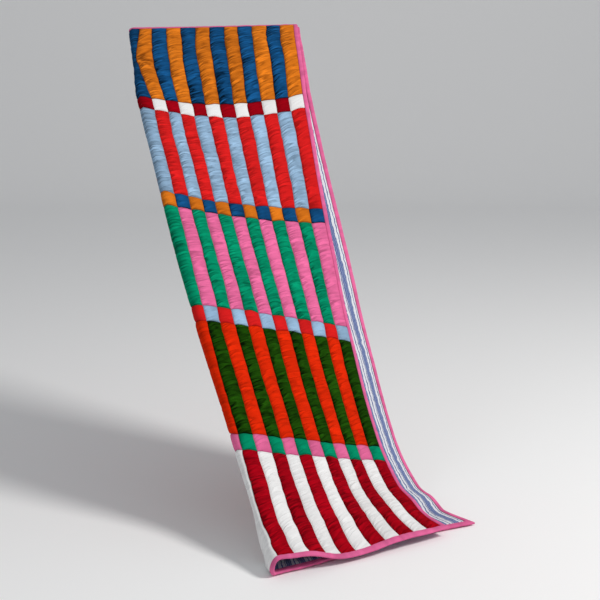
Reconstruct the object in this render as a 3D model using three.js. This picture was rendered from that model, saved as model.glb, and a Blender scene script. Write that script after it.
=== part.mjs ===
import * as THREE from "three";

// A patchwork throw of padded velvet, folded once lengthwise with the patchwork outwards and
// hung by its top edge. It slopes down toward the viewer and to the right, and its foot lies
// on the ground. Millimetres: X to the right, Y away from the viewer, Z up. The origin is
// under the middle of the throw's box, on the ground.

// Driving dimensions of the patchwork
const STRIP = 51; // finished width of one velvet strip, and the side of one square
const STRIPS_ACROSS = 25;
const BANDS = 5;
const BAND_LENGTH = 7 * STRIP; // the strips of a band are seven times as long as wide
const WIDTH = STRIPS_ACROSS * STRIP;
const LENGTH = BANDS * BAND_LENGTH + (BANDS - 1) * STRIP; // a row of squares between bands
const HALF = 12 * STRIP; // the part of the width that the front layer shows, before the fold

// Driving dimensions of the padding
const SEAM_THICKNESS = 6; // top, wadding and backing, pressed together under a seam
const PUFF = 4.5; // how far the middle of a strip stands over its seams
const LAYER_GAP = 5; // air between the two layers where they lie closest
const LAYER_PITCH = 2 * SEAM_THICKNESS + LAYER_GAP;
const TAPER = 4 * STRIP; // over this width the fold's loop closes to the layer gap

// Driving dimensions of the edge inside its binding
const TONGUE = 12; // how far the padding runs on past the outermost seam
const TONGUE_PRESS = 2; // how much the binding presses each face of it in

// How the throw hangs, a row for each section. along: strips below the top edge. slope: degrees
// below level. heading: degrees that the way down turns from the viewer toward the right.
// turn: degrees that the fold stands nearer than the free side. tilt: degrees that the free
// side is lower than the fold. bow: how far the middle stands out of the flat. sag: how far
// the middle hangs further down the slope. front: strips from the free side to where the fold
// begins. loop: radius of the fold. overhang: how far the back layer's free side stands out
// past the front one. lag: how far the back layer lags behind the front one down the slope.
const COLUMNS = [
  "along", "slope", "heading", "turn", "tilt", "bow", "sag", "front", "loop", "overhang", "lag",
];
const SECTIONS = [
  [0, 36, 3.5, 15, -1.5, 0, 2, 11.26, 11, 10, 0],
  [3, 36, 10.5, 18.5, -4, -5, 2, 11.08, 11, 14, 0],
  [7.5, 51, 20.5, 28, 1.5, -31, 22, 11.48, 11, 20, 0],
  [15.5, 55, 21, 34, 9.5, -22, 5, 11.64, 11, 50, 0],
  [23.5, 56.5, 24.5, 35.5, 14, 5, -2, 11.14, 17, 82, 4],
  [30, 55, 30, 37.5, 15.5, 7, 5, 10.7, 22, 94, 9],
  [34, 30.5, 19.5, 37.5, 12.5, 0, 9, 10.7, 18, 92, 13],
  [37, 22.5, 23, 39, 5, 0, -11, 10.8, 15, 108, 17],
  [39, 0, 31, 33, 5, -34, 8, 10.7, 25, 115, 18],
];
const DROP = 1474; // from the middle of the top edge down to the ground
const LANDING = 8; // height over which cloth that meets the ground eases onto it
const LIES_FROM = 35.5 * STRIP; // the back layer settles from here
const LIES_FLAT = 37.8 * STRIP; // and lies flat on the ground from here to the foot
const ROUNDNESS = 3; // how much of the fold stays round where the back layer settles
const FOOT_RISE = 36 * STRIP; // the foot of the front layer is wavy from here on
const FOOT_HOLLOW = { from: 32, middle: 20, reach: 6, depth: 25 }; // the back layer's foot: hollow

// The waves at the foot, which bend along seams. crest: strips from the free side. reach:
// strips from the crest to where the wave has died out. height: of the crest.
const FOOT_WAVES = [
  { crest: 3, reach: 4, height: 20 },
  { crest: 9, reach: 2, height: 12 },
];

// Where the surface has points. Across a strip: its seam and the two edges of its crest,
// closer in the strips that go round the fold. The backing has them at fewer seams. Along a
// band and a square: the same, in strips from their start.
const STRIP_POINTS = [0, 0.25, 0.75];
const FOLD_POINTS = {
  10: [0, 0.25, 0.5, 0.75],
  11: [0, 0.125, 0.25, 0.42, 0.58, 0.75, 0.875],
  12: [0, 0.125, 0.25, 0.42, 0.58, 0.75],
};
const BACKING_STRIPS = [0, 1, 2, 3, 4, 5, 6, 7, 8, 9, 13, 14, 15, 16, 18, 20, 22, 24];
const BAND_POINTS = [0, 0.35, 2, 3.5, 5, 6.65];
const FOOT_BAND_POINTS = [0, 0.35, 2, 3.5, 5, 6, 6.65];
const SQUARE_POINTS = [0, 0.3, 0.7];

const radians = THREE.MathUtils.degToRad;

// A smooth curve through one column of the table that never overshoots its rows, and runs on
// straight past the first and the last.
function smoothColumn(place) {
  const x = SECTIONS.map((row) => row[0] * STRIP);
  const y = SECTIONS.map((row) => row[place]);
  const last = x.length - 1;
  const rise = x.slice(1).map((end, k) => (y[k + 1] - y[k]) / (end - x[k]));
  const tangent = x.map((_, k) => {
    if (k === 0) return rise[0];
    if (k === last) return rise[last - 1];
    if (rise[k - 1] * rise[k] <= 0) return 0;
    const before = x[k] - x[k - 1];
    const after = x[k + 1] - x[k];
    const weight = 3 * (before + after);
    return weight / ((2 * after + before) / rise[k - 1] + (after + 2 * before) / rise[k]);
  });
  return (v) => {
    if (v <= x[0]) return y[0] + tangent[0] * (v - x[0]);
    if (v >= x[last]) return y[last] + tangent[last] * (v - x[last]);
    const k = x.findIndex((end) => end > v) - 1;
    const step = x[k + 1] - x[k];
    const t = (v - x[k]) / step;
    const s = 1 - t;
    return (
      y[k] * s * s * (1 + 2 * t) +
      tangent[k] * step * t * s * s +
      y[k + 1] * t * t * (3 - 2 * t) -
      tangent[k + 1] * step * t * t * s
    );
  };
}
const column = Object.fromEntries(COLUMNS.map((name, place) => [name, smoothColumn(place)]));

// The way down the slope at a distance v from the top edge.
function wayDown(v) {
  const slope = radians(column.slope(v));
  const heading = radians(column.heading(v));
  return new THREE.Vector3(
    Math.cos(slope) * Math.sin(heading),
    -Math.cos(slope) * Math.cos(heading),
    -Math.sin(slope),
  );
}

// The line down the middle of the front layer, in short steps of true length.
const LINE_STEP = STRIP / 4;
const middleLine = [new THREE.Vector3(0, 0, DROP)];
for (let v = 0; v < LENGTH; v += LINE_STEP) {
  const step = wayDown(v).add(wayDown(v + LINE_STEP)).multiplyScalar(LINE_STEP / 2);
  middleLine.push(middleLine[middleLine.length - 1].clone().add(step));
}
function middleAt(v) {
  const inside = THREE.MathUtils.clamp(v, 0, LENGTH);
  const k = Math.min(Math.floor(inside / LINE_STEP), middleLine.length - 2);
  const point = middleLine[k].clone().lerp(middleLine[k + 1], inside / LINE_STEP - k);
  return point.addScaledVector(wayDown(inside), v - inside);
}

// The front layer as it would run on without a fold, at a distance a from its free side.
function frontPoint(a, v) {
  const turn = radians(column.turn(v));
  const tilt = radians(column.tilt(v));
  const across = new THREE.Vector3(
    Math.cos(turn) * Math.cos(tilt),
    Math.sin(turn) * Math.cos(tilt),
    -Math.sin(tilt),
  );
  const down = wayDown(v);
  const out = down.clone().cross(across).normalize();
  const fromMiddle = a / HALF - 0.5;
  const belly = 1 - 4 * fromMiddle * fromMiddle;
  return middleAt(v)
    .addScaledVector(across, -fromMiddle * HALF)
    .addScaledVector(out, column.bow(v) * belly)
    .addScaledVector(down, column.sag(v) * belly);
}

// The front layer's direction toward the fold, and its face's normal, at a point.
const PROBE = 1;
function frontFrame(a, v) {
  const toFold = frontPoint(a + PROBE, v).sub(frontPoint(a - PROBE, v)).normalize();
  const down = frontPoint(a, v + PROBE).sub(frontPoint(a, v - PROBE));
  const normal = toFold.clone().cross(down).normalize();
  return { toFold, normal };
}

// Cloth lower than a level is lifted to it, with a short easing above the level.
function restOn(height, level) {
  const blend = THREE.MathUtils.clamp(0.5 + (height - level) / (2 * LANDING), 0, 1);
  return THREE.MathUtils.lerp(level, height, blend) + LANDING * blend * (1 - blend);
}

// The rise of the front layer's waves at the foot.
function footWave(a, v) {
  const grown = THREE.MathUtils.smoothstep(v, FOOT_RISE, LENGTH);
  const rises = FOOT_WAVES.map(
    ({ crest, reach, height }) => height * Math.max(0, 1 - Math.abs(a / STRIP - crest) / reach),
  );
  return grown * rises.reduce((sum, rise) => sum + rise, 0);
}

// How much further the back layer lags behind in the middle of its foot.
function footHollow(a, v) {
  const { from, middle, reach, depth } = FOOT_HOLLOW;
  const grown = THREE.MathUtils.smoothstep(v, from * STRIP, LENGTH);
  return depth * grown * Math.max(0, 1 - Math.abs(a / STRIP - middle) / reach);
}

// The sewn-down face of the patchwork: a runs across the whole throw from the front layer's
// free side, round the fold, to the back layer's free side, and v runs down its length.
function seamPoint(a, v) {
  const loop = column.loop(v);
  const foldStart = column.front(v) * STRIP;
  const backStart = foldStart + Math.PI * loop;
  const turned = THREE.MathUtils.clamp((a - foldStart) / loop, 0, Math.PI);
  const under = (1 - Math.cos(turned)) / 2;
  const behind = v - under * (column.lag(v) + footHollow(a, v));
  let point;
  if (a <= foldStart) {
    point = frontPoint(a, v);
    point.z += footWave(a, v);
  } else if (a < backStart) {
    const { toFold, normal } = frontFrame(foldStart, behind);
    point = frontPoint(foldStart, behind)
      .addScaledVector(toFold, loop * Math.sin(turned))
      .addScaledVector(normal, -loop * (1 - Math.cos(turned)));
  } else {
    const easing = (foldStart + column.overhang(v)) / (WIDTH - backStart);
    const opposite = foldStart - (a - backStart) * easing;
    const closed = THREE.MathUtils.smoothstep(a - backStart, 0, TAPER);
    const depth = THREE.MathUtils.lerp(2 * loop, LAYER_PITCH, closed);
    const { normal } = frontFrame(opposite, behind);
    point = frontPoint(opposite, behind).addScaledVector(normal, -depth);
  }
  const lies = under ** ROUNDNESS * THREE.MathUtils.smoothstep(v, LIES_FROM, LIES_FLAT);
  const settled = THREE.MathUtils.lerp(point.z, PUFF, lies);
  point.z = restOn(settled, PUFF + LAYER_PITCH * (1 - under));
  return point;
}

// A point of the throw at a height over the sewn-down face.
function clothPoint(a, v, height) {
  const acrossStep = seamPoint(a + PROBE, v).sub(seamPoint(a - PROBE, v));
  const downStep = seamPoint(a, v + PROBE).sub(seamPoint(a, v - PROBE));
  const normal = acrossStep.cross(downStep).normalize();
  return seamPoint(a, v).addScaledVector(normal, height);
}

// The places along the width and the length where the surface has points.
function placesAcross(pointsOf) {
  const places = [-TONGUE];
  for (let strip = 0; strip < STRIPS_ACROSS; strip += 1) {
    pointsOf(strip).forEach((part) => places.push((strip + part) * STRIP));
  }
  return [...places, WIDTH, WIDTH + TONGUE];
}
const faceAcross = placesAcross((strip) => FOLD_POINTS[strip] ?? STRIP_POINTS);
const backingAcross = placesAcross(
  (strip) => FOLD_POINTS[strip] ?? (BACKING_STRIPS.includes(strip) ? [0] : []),
);
const lengthwise = [-TONGUE];
let bandStart = 0;
for (let band = 0; band < BANDS; band += 1) {
  const parts = band < BANDS - 1 ? BAND_POINTS : FOOT_BAND_POINTS;
  parts.forEach((part) => lengthwise.push(bandStart + part * STRIP));
  bandStart += BAND_LENGTH;
  if (band < BANDS - 1) {
    SQUARE_POINTS.forEach((part) => lengthwise.push(bandStart + part * STRIP));
    bandStart += STRIP;
  }
}
lengthwise.push(LENGTH, LENGTH + TONGUE);

// How high the padded face stands: level over each patch, down to nothing at its seams, and
// pressed in under the binding.
function patchHeight(a, v) {
  if (a <= 0 || a >= WIDTH || v <= 0 || v >= LENGTH) return -TONGUE_PRESS;
  const inPitch = v % (BAND_LENGTH + STRIP);
  const onSeamAcross = a % STRIP === 0;
  const onSeamAlong = inPitch === 0 || inPitch === BAND_LENGTH;
  return onSeamAcross || onSeamAlong ? 0 : PUFF;
}
function backingHeight(a, v) {
  const bound = a <= 0 || a >= WIDTH || v <= 0 || v >= LENGTH;
  return bound ? TONGUE_PRESS - SEAM_THICKNESS : -SEAM_THICKNESS;
}

// A closed mesh from its points and from triangles that index them.
function solid(name, points, triangles, material) {
  const geometry = new THREE.BufferGeometry().setFromPoints(points);
  geometry.setIndex(triangles);
  geometry.computeVertexNormals();
  const mesh = new THREE.Mesh(geometry, material);
  mesh.name = name;
  return mesh;
}

// The padded sheet: a patchwork face and a backing face, closed along all four edges.
function makeQuilt() {
  const points = [];
  const triangles = [];
  const lay = (across, heightAt) =>
    lengthwise.map((v) => across.map((a) => points.push(clothPoint(a, v, heightAt(a, v))) - 1));
  const face = lay(faceAcross, patchHeight);
  const backing = lay(backingAcross, backingHeight);
  const quad = (p, q, r, s) => triangles.push(p, q, r, p, r, s);
  const skin = (rows, outward) => {
    for (let j = 0; j + 1 < rows.length; j += 1) {
      for (let i = 0; i + 1 < rows[j].length; i += 1) {
        const corners = [rows[j][i], rows[j][i + 1], rows[j + 1][i + 1], rows[j + 1][i]];
        quad(...(outward ? corners : corners.reverse()));
      }
    }
  };
  skin(face, true);
  skin(backing, false);
  for (let j = 0; j + 1 < lengthwise.length; j += 1) {
    quad(face[j][0], face[j + 1][0], backing[j + 1][0], backing[j][0]);
    quad(face[j + 1].at(-1), face[j].at(-1), backing[j].at(-1), backing[j + 1].at(-1));
  }
  // The faces have unlike numbers of points across, so their ends are joined in zigzag.
  const joinEnds = (row, outward) => {
    let i = 0;
    let k = 0;
    while (i < faceAcross.length - 1 || k < backingAcross.length - 1) {
      const nextFace = faceAcross[i + 1] ?? Infinity;
      const nextBacking = backingAcross[k + 1] ?? Infinity;
      const onFace = nextFace <= nextBacking;
      const tip = onFace ? face[row][i + 1] : backing[row][k + 1];
      const corners = [face[row][i], tip, backing[row][k]];
      triangles.push(...(outward ? corners : corners.reverse()));
      i += onFace ? 1 : 0;
      k += onFace ? 0 : 1;
    }
  };
  joinEnds(0, false);
  joinEnds(lengthwise.length - 1, true);
  const velvet = new THREE.MeshStandardMaterial({ color: 0xa50523, roughness: 0.9, metalness: 0 });
  return solid("quilt", points, triangles, velvet);
}

// The binding: one long strip folded over the raw edge and mitred at the four corners. Its
// section goes from the lip on the face, round the edge, to the lip on the backing, and back
// inside. out: distance past the outermost seam. height: over the sewn-down face.
const BINDING_SECTION = [
  { out: 0.4, height: 1 },
  { out: 13, height: 1.4 },
  { out: 15.5, height: -3 },
  { out: 13, height: -7.2 },
  { out: 0.4, height: -6.8 },
  { out: 0.4, height: -5.4 },
  { out: 12.6, height: -5.4 },
  { out: 12.6, height: -0.6 },
  { out: 0.4, height: -0.6 },
];

function makeBinding() {
  const across = backingAcross.filter((a) => a > 0 && a < WIDTH);
  const along = lengthwise.filter((v) => v > 0 && v < LENGTH);
  const edge = [
    { a: 0, v: 0, outA: -1, outV: -1 },
    ...across.map((a) => ({ a, v: 0, outA: 0, outV: -1 })),
    { a: WIDTH, v: 0, outA: 1, outV: -1 },
    ...along.map((v) => ({ a: WIDTH, v, outA: 1, outV: 0 })),
    { a: WIDTH, v: LENGTH, outA: 1, outV: 1 },
    ...across.toReversed().map((a) => ({ a, v: LENGTH, outA: 0, outV: 1 })),
    { a: 0, v: LENGTH, outA: -1, outV: 1 },
    ...along.toReversed().map((v) => ({ a: 0, v, outA: -1, outV: 0 })),
  ];
  const sides = BINDING_SECTION.length;
  const points = edge.flatMap(({ a, v, outA, outV }) =>
    BINDING_SECTION.map(({ out, height }) => clothPoint(a + outA * out, v + outV * out, height)),
  );
  const triangles = [];
  for (let j = 0; j < edge.length; j += 1) {
    const here = j * sides;
    const next = ((j + 1) % edge.length) * sides;
    for (let i = 0; i < sides; i += 1) {
      const beside = (i + 1) % sides;
      triangles.push(here + i, next + beside, next + i, here + i, here + beside, next + beside);
    }
  }
  const pink = new THREE.MeshStandardMaterial({ color: 0xe1649b, roughness: 0.9, metalness: 0 });
  return solid("binding", points, triangles, pink);
}

const throwPieces = new THREE.Group();
throwPieces.add(makeQuilt(), makeBinding());

// The origin goes under the middle of the box, at the height of the lowest point.
const box = new THREE.Box3().setFromObject(throwPieces);
const centre = box.getCenter(new THREE.Vector3());
throwPieces.position.set(-centre.x, -centre.y, -box.min.z);

export default throwPieces;
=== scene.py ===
import math

import bpy
import numpy as np
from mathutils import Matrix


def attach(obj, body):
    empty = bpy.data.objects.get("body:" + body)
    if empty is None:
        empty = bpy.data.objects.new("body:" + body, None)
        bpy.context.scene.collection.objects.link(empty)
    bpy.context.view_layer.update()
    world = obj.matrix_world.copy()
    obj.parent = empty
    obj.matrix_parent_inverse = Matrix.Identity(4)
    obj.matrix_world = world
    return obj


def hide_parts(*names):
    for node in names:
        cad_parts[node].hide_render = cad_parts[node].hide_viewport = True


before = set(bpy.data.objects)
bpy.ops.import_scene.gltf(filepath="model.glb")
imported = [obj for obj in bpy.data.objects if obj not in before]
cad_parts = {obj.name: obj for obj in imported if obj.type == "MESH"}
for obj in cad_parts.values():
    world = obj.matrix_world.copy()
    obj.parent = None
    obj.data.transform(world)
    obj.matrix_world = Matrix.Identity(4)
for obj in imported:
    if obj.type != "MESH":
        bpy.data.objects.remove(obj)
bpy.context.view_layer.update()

# THE CAMERA
# A throw this size is photographed from four to five metres off, from a little under the height of
# its top edge, tipped down to take in the ground at its foot.
TOP_EDGE_HEIGHT = 1.472
THROW_ORIGIN = np.array([-0.28273, 0.64042, TOP_EDGE_HEIGHT])  # middle of the top edge
CAMERA_FROM_ORIGIN = np.array([0.318, -4.662, -0.072])
CAMERA_TIP = 11  # degrees below level
SENSOR_WIDTH, LENS_LENGTH = 36, 78  # millimetres

camera_data = bpy.data.cameras.new("camera")
camera_data.sensor_width = SENSOR_WIDTH
camera_data.lens = LENS_LENGTH
camera = bpy.data.objects.new("camera", camera_data)
camera.location = THROW_ORIGIN + CAMERA_FROM_ORIGIN
camera.rotation_euler = (math.radians(90 - CAMERA_TIP), 0, 0)
bpy.context.collection.objects.link(camera)
bpy.context.scene.camera = camera

# HOW THE THROW HANGS
# The throw is folded once down its length, patchwork outwards. It hangs by its top edge and its
# foot lies on the ground. A place on the cloth is a, across it from the front layer's free side,
# round the fold and back, and v, down from the top edge.
STRIP = 0.051  # finished width of one velvet strip, and the side of one square
STRIPS_ACROSS = 25
FRONT_STRIPS = 12  # as many on the back layer, and one round the fold
BANDS = 5
BAND_STRIPS = 7  # a band is as long as seven strips are wide
BAND = BAND_STRIPS * STRIP
PARTS = 2 * BANDS - 1  # down the length: the bands, and the rows of squares between them
WIDTH = STRIPS_ACROSS * STRIP
LENGTH = BANDS * BAND + (BANDS - 1) * STRIP
HALF = FRONT_STRIPS * STRIP  # the front layer's width, up to the fold
SEAM_THICKNESS = 0.006  # of velvet, wadding and backing where they are stitched through
PUFF = 0.0045  # the height of the padding that the ground is set by
LAYER_PITCH = 0.017  # from the front layer's face to the back layer's
TAPER = 4 * STRIP  # over this much cloth past the fold, the layers come together
LANDING = 0.008  # the height over which falling cloth eases onto the ground
GROUND_PRESS = 0.002  # padding that lies on the ground is pressed by this much
LIES_FROM = 35.5 * STRIP  # the back layer comes down to the ground
LIES_FLAT = 37.8 * STRIP
FOOT_RISE = 36 * STRIP  # the front layer's waves begin
ROUNDNESS = 3  # the higher, the less the fold itself is pressed down
FOOT_WAVES = (  # crest and reach in strips, height
    (3.0, 4.0, 0.020),
    (9.0, 2.0, 0.012),
)
HOLLOW_FROM, HOLLOW_MIDDLE, HOLLOW_REACH = 32 * STRIP, 20 * STRIP, 6 * STRIP
HOLLOW_DEPTH = 0.025

# Each row of the table is one section of the length. Slope and heading are the way down the
# throw, turn and tilt the way across it; bow and sag belly the front layer out and down. The fold
# starts at front and has the radius loop. The back layer stands out past the front one by
# overhang, and trails behind it by lag.
COLUMNS = (
    "along", "slope", "heading", "turn", "tilt", "bow", "sag", "front", "loop", "overhang", "lag",
)
SECTIONS = np.array([
    (0, 36, 3.5, 15, -1.5, 0, 2, 11.26, 11, 10, 0),
    (3, 36, 10.5, 18.5, -4, -5, 2, 11.08, 11, 14, 0),
    (7.5, 51, 20.5, 28, 1.5, -31, 22, 11.48, 11, 20, 0),
    (15.5, 55, 21, 34, 9.5, -22, 5, 11.64, 11, 50, 0),
    (23.5, 56.5, 24.5, 35.5, 14, 5, -2, 11.14, 17, 82, 4),
    (30, 55, 30, 37.5, 15.5, 7, 5, 10.7, 22, 94, 9),
    (34, 30.5, 19.5, 37.5, 12.5, 0, 9, 10.7, 18, 92, 13),
    (37, 22.5, 23, 39, 5, 0, -11, 10.8, 15, 108, 17),
    (39, 0, 31, 33, 5, -34, 8, 10.7, 25, 115, 18),
])
UNITS = dict(
    along=STRIP, slope=math.pi / 180, heading=math.pi / 180, turn=math.pi / 180,
    tilt=math.pi / 180, bow=0.001, sag=0.001, front=STRIP, loop=0.001, overhang=0.001, lag=0.001,
)
stations = SECTIONS[:, 0] * STRIP
station_gaps = np.diff(stations)
LAST = len(stations) - 1


def smooth_tangents(values):
    """Slopes at the stations for a curve that never overshoots them."""
    rise = np.diff(values) / station_gaps
    tangent = np.zeros(LAST + 1)
    tangent[0], tangent[LAST] = rise[0], rise[-1]
    for k in range(1, LAST):
        if rise[k - 1] * rise[k] > 0:
            before, after = station_gaps[k - 1], station_gaps[k]
            weight = 3 * (before + after)
            near, far = 2 * after + before, after + 2 * before
            tangent[k] = weight / (near / rise[k - 1] + far / rise[k])
    return tangent


CURVES = {
    name: (SECTIONS[:, k] * UNITS[name], smooth_tangents(SECTIONS[:, k] * UNITS[name]))
    for k, name in enumerate(COLUMNS)
}


def section(name, v):
    """The value of one column at distances v down the throw."""
    y, tangent = CURVES[name]
    v = np.asarray(v, float)
    k = np.clip(np.searchsorted(stations, v, side="right") - 1, 0, LAST - 1)
    step = station_gaps[k]
    t = np.clip((v - stations[k]) / step, 0, 1)
    s = 1 - t
    inside = (
        y[k] * s * s * (1 + 2 * t) + tangent[k] * step * t * s * s
        + y[k + 1] * t * t * (3 - 2 * t) - tangent[k + 1] * step * t * t * s
    )
    before = np.minimum(v - stations[0], 0) * tangent[0]
    after = np.maximum(v - stations[LAST], 0) * tangent[LAST]
    return inside + before + after


def way_down(v):
    """The direction down the slope at distances v."""
    slope, heading = section("slope", v), section("heading", v)
    level = np.cos(slope)
    return np.stack([level * np.sin(heading), -level * np.cos(heading), -np.sin(slope)], -1)


LINE_STEPS = 1248  # the middle line is added up in short steps, 32 to a strip
line_at = np.linspace(0, LENGTH, LINE_STEPS + 1)
line_ways = way_down(line_at)
line_moves = (line_ways[1:] + line_ways[:-1]) / 2 * (LENGTH / LINE_STEPS)
middle_line = THROW_ORIGIN + np.vstack([np.zeros(3), np.cumsum(line_moves, axis=0)])


def middle_at(v):
    """The line down the middle of the front layer."""
    inside = np.clip(v, 0, LENGTH)
    point = np.stack([np.interp(inside, line_at, middle_line[:, k]) for k in range(3)], -1)
    return point + way_down(inside) * (v - inside)[..., None]


def unit(vectors):
    """The same directions with a length of one."""
    return vectors / np.linalg.norm(vectors, axis=-1, keepdims=True)


def front_point(a, v):
    """The front layer as it would run on without a fold."""
    turn, tilt = section("turn", v), section("tilt", v)
    across = np.stack([np.cos(turn) * np.cos(tilt), np.sin(turn) * np.cos(tilt), -np.sin(tilt)], -1)
    down = way_down(v)
    out = unit(np.cross(down, across))
    from_middle = a / HALF - 0.5
    belly = 1 - 4 * from_middle**2
    return (
        middle_at(v) - across * (from_middle * HALF)[..., None]
        + out * (section("bow", v) * belly)[..., None]
        + down * (section("sag", v) * belly)[..., None]
    )


PROBE = 0.001  # half the distance over which the cloth's directions are measured


def front_frame(a, v):
    """The front layer's direction toward the fold, and its face's normal."""
    to_fold = unit(front_point(a + PROBE, v) - front_point(a - PROBE, v))
    down = front_point(a, v + PROBE) - front_point(a, v - PROBE)
    return to_fold, unit(np.cross(to_fold, down))


def smoothstep(x, low, high):
    """A smooth rise from 0 at low to 1 at high."""
    t = np.clip((x - low) / (high - low), 0, 1)
    return t * t * (3 - 2 * t)


def rest_on(height, level):
    """Cloth lower than a level is lifted to it, with a short easing above the level."""
    blend = np.clip(0.5 + (height - level) / (2 * LANDING), 0, 1)
    return level + (height - level) * blend + LANDING * blend * (1 - blend)


def foot_wave(a, v):
    """The rise of the front layer's waves at the foot."""
    rise = 0
    for crest, reach, height in FOOT_WAVES:
        off = np.minimum(np.abs(a / STRIP - crest) / reach, 1)
        rise = rise + height * (1 + np.cos(np.pi * off)) / 2
    return rise * smoothstep(v, FOOT_RISE, LENGTH)


def foot_hollow(a, v):
    """How much further the back layer lags behind in the middle of its foot."""
    grown = smoothstep(v, HOLLOW_FROM, LENGTH)
    return HOLLOW_DEPTH * grown * np.maximum(0, 1 - np.abs(a - HOLLOW_MIDDLE) / HOLLOW_REACH)


def hang(a, v):
    """The sewn-down face of the patchwork, at places a and v."""
    a, v = np.broadcast_arrays(np.asarray(a, float), np.asarray(v, float))
    loop = section("loop", v)
    fold_start = section("front", v)
    back_start = fold_start + np.pi * loop
    turned = np.clip((a - fold_start) / loop, 0, np.pi)
    front = front_point(a, v)
    front[..., 2] += foot_wave(a, v)
    under = (1 - np.cos(turned)) / 2
    behind = v - under * (section("lag", v) + foot_hollow(a, v))
    to_fold, normal = front_frame(fold_start, behind)
    fold = (
        front_point(fold_start, behind) + to_fold * (loop * np.sin(turned))[..., None]
        - normal * (loop * (1 - np.cos(turned)))[..., None]
    )
    easing = (fold_start + section("overhang", v)) / (WIDTH - back_start)
    opposite = fold_start - (a - back_start) * easing
    depth = 2 * loop + (LAYER_PITCH - 2 * loop) * smoothstep(a - back_start, 0, TAPER)
    back = front_point(opposite, behind) - front_frame(opposite, behind)[1] * depth[..., None]
    on_front, on_back = (a <= fold_start)[..., None], (a >= back_start)[..., None]
    point = np.where(on_front, front, np.where(on_back, back, fold))
    lies = under**ROUNDNESS * smoothstep(v, LIES_FROM, LIES_FLAT)
    ground = -GROUND_PRESS + PUFF
    settled = point[..., 2] + (ground - point[..., 2]) * lies
    point[..., 2] = rest_on(settled, ground + LAYER_PITCH * (1 - under))
    return point


def outward(a, v):
    """The normal of the patchwork's face."""
    across = hang(a + PROBE, v) - hang(a - PROBE, v)
    down = hang(a, v + PROBE) - hang(a, v - PROBE)
    return unit(np.cross(across, down))


# THE QUILTED CLOTH
# Cotton velvet strips and squares, pieced edge to edge, over wadding and a woven striped backing.
# All three are stitched through along every seam, so each patch stands up as a padded channel,
# puckered crosswise where the stitching has drawn the velvet up.
VELVETS = dict(  # colour, its strength pressed and in painted shade, and standing and painted lit
    mustard=((0.62, 0.148, 0.010), 0.42, 1.60),
    blue=((0.004, 0.044, 0.125), 0.16, 2.65),
    white=((0.82, 0.82, 0.82), 0.82, 1.04),
    crimson=((0.29, 0.001, 0.006), 0.45, 1.50),
    red=((0.63, 0.013, 0.013), 0.55, 1.25),
    light_blue=((0.285, 0.44, 0.62), 0.50, 1.25),
    pink=((0.78, 0.145, 0.33), 0.60, 1.18),
    green=((0.001, 0.225, 0.112), 0.40, 1.50),
    dark_green=((0.006, 0.031, 0.001), 0.20, 2.75),
    orange=((0.68, 0.021, 0.002), 0.60, 1.20),
)
# Down the length: band, square, band and so on to the last band, in the even and the odd strips.
EVEN_STRIPS = (
    "mustard", "white", "red", "blue", "pink", "light_blue", "dark_green", "green", "crimson",
)
ODD_STRIPS = (
    "blue", "crimson", "light_blue", "mustard", "green", "red", "orange", "pink", "white",
)


def patch_colour(part, strip):
    """The velvet of one patch: part down the length, strip across."""
    return (EVEN_STRIPS if strip % 2 == 0 else ODD_STRIPS)[part]


CREST = 0.0046  # how far the middle of a patch stands over its seams
ROUND_ACROSS = STRIP / 2  # the padding rises to its height over this much cloth
ROUND_ALONG = 0.018
ROUND_START = 0.55  # the lower, the steeper at the seam
ROUND_END = 2.6  # the higher, the flatter on top
DITCH = 0.0004  # how far the stitches sink in

# The rows and columns of points, in strips from the start of each patch: closer near the seams,
# and in the first band closer where it is gathered up.
ACROSS_STEPS = (0, 0.035, 0.14, 0.31, 0.5, 0.69, 0.86, 0.965)
SQUARE_STEPS = (0, 0.05, 0.15, 0.27, 0.385, 0.5, 0.615, 0.73, 0.85, 0.95)
BAND_STEPS = (0, 0.05, 0.14, *np.linspace(0.24, 6.76, 56), 6.86, 6.95)
GATHERED_STEPS = (
    0, 0.05, 0.14, *np.linspace(0.24, 1.60, 11), *np.linspace(1.66, 3.80, 38),
    *np.linspace(3.92, 6.76, 24), 6.86, 6.95,
)
ALLOWANCE = (0.003, 0.012)  # cloth past the outermost seams, inside the binding


def with_allowance(places, whole):
    """Places across or down the cloth, and those of its raw edges on both sides."""
    near, far = ALLOWANCE
    return np.array([-far, -near, *places, whole, whole + near, whole + far])


def columns_of_points(steps):
    """Places across the cloth, the same ones in every strip."""
    places = [(strip + step) * STRIP for strip in range(STRIPS_ACROSS) for step in steps]
    return with_allowance(places, WIDTH)


face_a = columns_of_points(ACROSS_STEPS)
seams_down = []
places_down = []
part_of_row = [0] * len(ALLOWANCE)  # each row of points belongs to one part
start = 0
for part in range(PARTS):
    steps = SQUARE_STEPS if part % 2 else (BAND_STEPS if part else GATHERED_STEPS)
    seams_down.append(start * STRIP)
    places_down += [(start + step) * STRIP for step in steps]
    part_of_row += [part] * len(steps)
    start += 1 if part % 2 else BAND_STRIPS
seams_down = np.array([*seams_down, LENGTH])
face_v = with_allowance(places_down, LENGTH)
part_of_row = np.array([*part_of_row, *[PARTS - 1] * (1 + len(ALLOWANCE))])

chance = np.random.default_rng(41)  # what happens by chance in the sewing comes from here


def wander(places, pitch, seed):
    """A smooth random wave from -1 to 1 with crests about a pitch apart."""
    own = np.random.default_rng(seed)
    count = 4096
    values = own.uniform(-1, 1, count)
    x = places / pitch + own.uniform(0, 1000)
    k = np.floor(x).astype(int)
    t = x - k
    t = t * t * (3 - 2 * t)
    return values[k % count] * (1 - t) + values[(k + 1) % count] * t


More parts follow.
